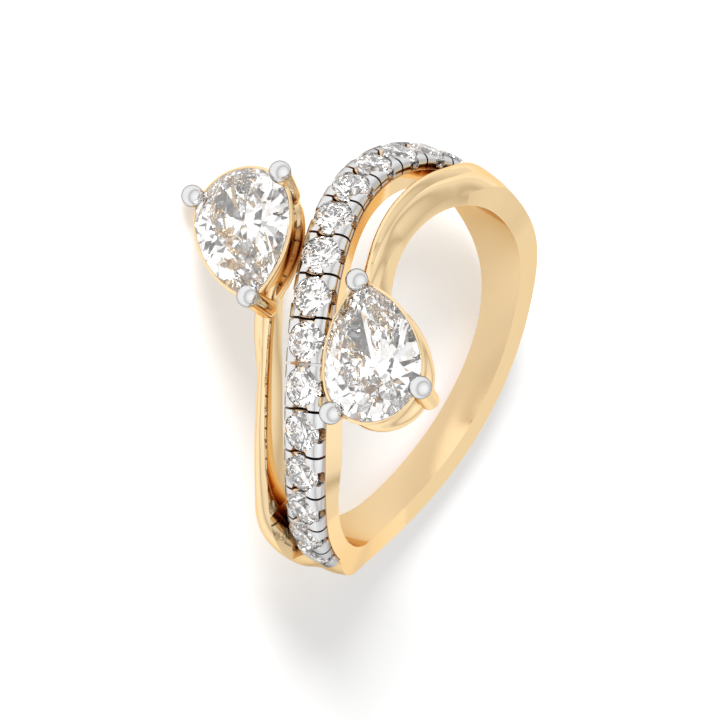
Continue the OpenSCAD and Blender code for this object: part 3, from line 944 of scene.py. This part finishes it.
# The profile goes over the rim wire, down the outside and up the inside. Each point has its distance
# out of the stone's edge, then its depth.
rim_middle, rim_r, basket_shift = (0.06, 0.36), 0.09, 0.05
rim_turns = [math.radians(180 - 20 * k) for k in range(13)]
rim_wire = [(rim_middle[0] + rim_r * math.cos(a), rim_middle[1] - rim_r * math.sin(a)) for a in rim_turns]
channel = curved((0.08, 0.46), (-0.42, 0.95), (-0.14, 1.52), 12)
lower_rail = curved((-0.05, 1.60), (0.10, 1.85), (-0.06, 2.20), 8)
inner_cone = [(-0.95, 2.20), (-0.75, 1.35), (-0.20, 0.60), (-0.03, 0.43)]
basket_profile = rim_wire + channel + lower_rail + inner_cone

for label, axes in PEARS.items():
    rows = [
        [axes @ Vector((p.x, p.y - basket_shift * drop, -drop)) for p in pear_outline(margin)]
        for margin, drop in basket_profile
    ]
    basket = bmesh.new()
    inside = range(len(rows) - len(inner_cone), len(rows))
    add_skin(basket, list(zip(*rows)), closed=True, white=inside)
    basket_piece = make_piece(f"basket_{label}", basket, "gold", gold_finish, rhodium_finish, crease=35)
    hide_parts("ring_metal")
    round_edges(basket_piece, width=0.02, segments=2)

# Prongs
# Three round gold wires on each basket, one at the point and two at the round end. Each is melted to
# a ball over the stone's edge, and the balls are plated white.
WIRE_R, BALL_R, WIRE_DEPTH = 0.43, 0.50, 1.40
PRONGS = {  # ball's place along the pear and across it, then how far the wire's foot leans both ways
    "point": (0, 0, -0.15, -0.35),
    "outer": (5.54, 2.11, 0.15, -0.20),
    "inner": (5.54, -2.11, -0.55, 0.10),
}

prong_tree, prong_nodes = new_geometry_tree(
    "ball_tipped_wires", Wire="NodeSocketFloat", Ball="NodeSocketFloat",
    Gold="NodeSocketMaterial", Plated="NodeSocketMaterial"
)
prong_nodes |= add_nodes(
    prong_tree,
    curve="GeometryNodeMeshToCurve",
    circle=("GeometryNodeCurvePrimitiveCircle", {}, {"Resolution": 32}),
    wire=("GeometryNodeCurveToMesh", {}, {"Fill Caps": True}),
    foot=("GeometryNodeCurveEndpointSelection", {}, {"Start Size": 1, "End Size": 0}),
    tip=("GeometryNodeCurveEndpointSelection", {}, {"Start Size": 0, "End Size": 1}),
    knob=("GeometryNodeMeshUVSphere", {}, {"Segments": 32, "Rings": 16}),
    ball=("GeometryNodeMeshIcoSphere", {}, {"Subdivisions": 5}),
    feet="GeometryNodeInstanceOnPoints",
    tips="GeometryNodeInstanceOnPoints",
    golden="GeometryNodeJoinGeometry",
    gold="GeometryNodeSetMaterial",
    white="GeometryNodeSetMaterial",
    both="GeometryNodeJoinGeometry",
    smooth="GeometryNodeSetShadeSmooth",
    real="GeometryNodeRealizeInstances",
)
join(
    prong_tree, prong_nodes,
    ("came", "Geometry", "curve", "Mesh"),
    ("came", "Wire", "circle", "Radius"),
    ("came", "Wire", "knob", "Radius"),
    ("came", "Ball", "ball", "Radius"),
    ("curve", "Curve", "wire", "Curve"),
    ("circle", "Curve", "wire", "Profile Curve"),
    ("curve", "Curve", "feet", "Points"),
    ("foot", "Selection", "feet", "Selection"),
    ("knob", "Mesh", "feet", "Instance"),
    ("curve", "Curve", "tips", "Points"),
    ("tip", "Selection", "tips", "Selection"),
    ("ball", "Mesh", "tips", "Instance"),
    ("wire", "Mesh", "golden", "Geometry"),
    ("feet", "Instances", "golden", "Geometry"),
    ("golden", "Geometry", "gold", "Geometry"),
    ("came", "Gold", "gold", "Material"),
    ("tips", "Instances", "white", "Geometry"),
    ("came", "Plated", "white", "Material"),
    ("gold", "Geometry", "both", "Geometry"),
    ("white", "Geometry", "both", "Geometry"),
    ("both", "Geometry", "smooth", "Geometry"),
    ("smooth", "Geometry", "real", "Geometry"),
    ("real", "Geometry", "went", "Geometry"),
)

for label, axes in PEARS.items():
    wires = [
        [axes @ Vector((x + lean_x, y + lean_y, -WIRE_DEPTH)), axes @ Vector((x, y, 0))]
        for x, y, lean_x, lean_y in PRONGS.values()
    ]
    prongs_mesh = run_tree(
        prong_tree, line_mesh("wires", wires),
        {"Wire": WIRE_R, "Ball": BALL_R, "Gold": gold_finish, "Plated": rhodium_finish}
    )
    prongs_piece = make_piece_of_mesh(f"prongs_{label}", prongs_mesh, "gold", crease=40)
    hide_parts("ring_metal")

# Pear stones
# Two clear stones of 6.4 by 4.5 mm in the pear brilliant cut. Their facets meet under the middle of
# the round end, and the prongs' balls hold them at the point and at the round end.
pear_sink, culet_shift = 0.28, 0.25  # girdle under the balls' middles, culet off the round end's middle
pear_culet = Vector((PEAR_L - PEAR_W / 2 - culet_shift, 0))
main_side_turns, star_side_turns = (42, 84, 126), (21, 63, 105, 152)
half_side_turns = (10, 31, 52, 73, 94, 115, 138, 165)


def both_sides(turns):
    """Turns on one side of the pear, each followed by its like on the other."""
    return [sign * turn for turn in turns for sign in (1, -1)]


for label, axes in PEARS.items():
    pear_cut = cut_stone(
        pear_outline(), pear_culet, crown=0.62, girdle=0.09, pavilion=1.72, table_share=0.58,
        main_turns=[0, *both_sides(main_side_turns), 180],
        half_turns=both_sides(half_side_turns),
        star_turns=both_sides(star_side_turns),
    )
    pear_cut.transform(axes @ Matrix.Translation((0, 0, -pear_sink)))
    pear_piece = make_piece(f"pear_cut_{label}", pear_cut, "stone", stone_finish, crease=0)
    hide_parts(f"pear_stone_{label}")
